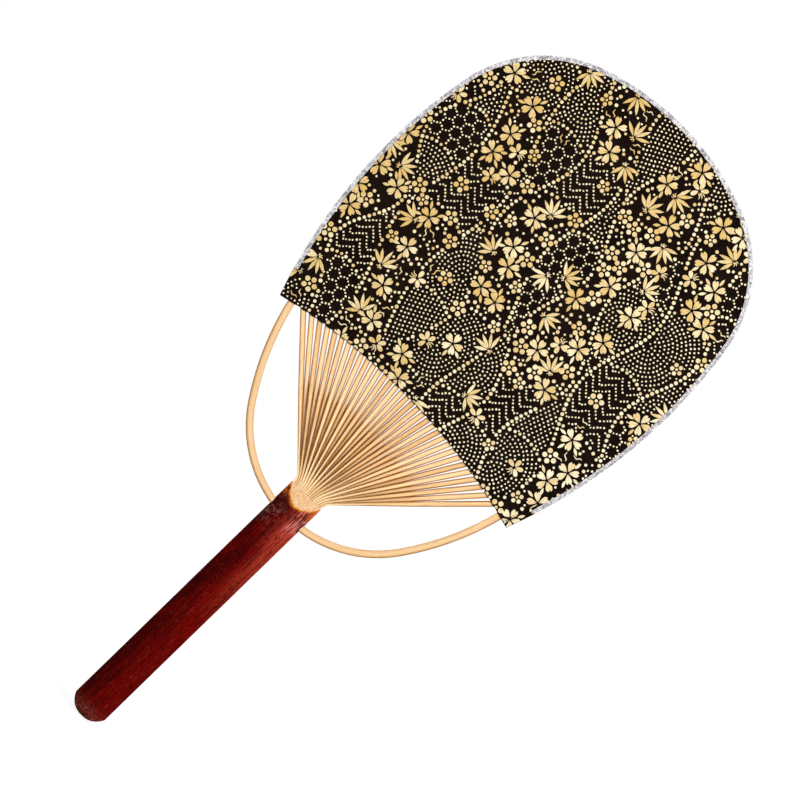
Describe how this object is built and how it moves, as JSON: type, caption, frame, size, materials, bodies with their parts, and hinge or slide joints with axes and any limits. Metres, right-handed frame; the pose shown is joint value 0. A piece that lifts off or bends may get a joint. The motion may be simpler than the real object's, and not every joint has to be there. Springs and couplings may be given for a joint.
{
  "type": "round uchiwa fan",
  "caption": "Rigid hand fan: a rounded paper leaf on a spread of split bamboo ribs, held open by a bow through the flat-backed lacquered handle.",
  "frame": {"origin": "middle of the hand grip, on the handle's axis, in the leaf's middle plane", "axes": "+Z along the handle towards the leaf, -Y out of the printed front, +X to the right seen from the front"},
  "size_m": [0.168, 0.0086, 0.3613],
  "materials": {
    "lacquer": "dark red lacquer over bamboo, worn at the butt and neck",
    "bamboo": "planed bare bamboo",
    "thread": "twisted cotton",
    "printed_paper": "matt black paper with gold print",
    "silver_paper": "silver-coated paper"
  },
  "bodies": {
    "root": {"handle": "lacquer", "rib_01": "bamboo", "rib_02": "bamboo", "rib_03": "bamboo", "rib_04": "bamboo", "rib_05": "bamboo", "rib_06": "bamboo", "rib_07": "bamboo", "rib_08": "bamboo", "rib_09": "bamboo", "rib_10": "bamboo", "rib_11": "bamboo", "rib_12": "bamboo", "rib_13": "bamboo", "rib_14": "bamboo", "rib_15": "bamboo", "rib_16": "bamboo", "rib_17": "bamboo", "rib_18": "bamboo", "rib_19": "bamboo", "rib_20": "bamboo", "rib_21": "bamboo", "rib_22": "bamboo", "rib_23": "bamboo", "rib_24": "bamboo", "rib_25": "bamboo", "rib_26": "bamboo", "rib_27": "bamboo", "rib_28": "bamboo", "rib_29": "bamboo", "rib_30": "bamboo", "rib_31": "bamboo", "rib_32": "bamboo", "rib_33": "bamboo", "bow": "bamboo", "stay_thread": "thread", "front_paper": "printed_paper", "back_paper": "printed_paper", "left_ear": "printed_paper", "right_ear": "printed_paper", "edge_binding": "silver_paper"}
  },
  "joints": []
}
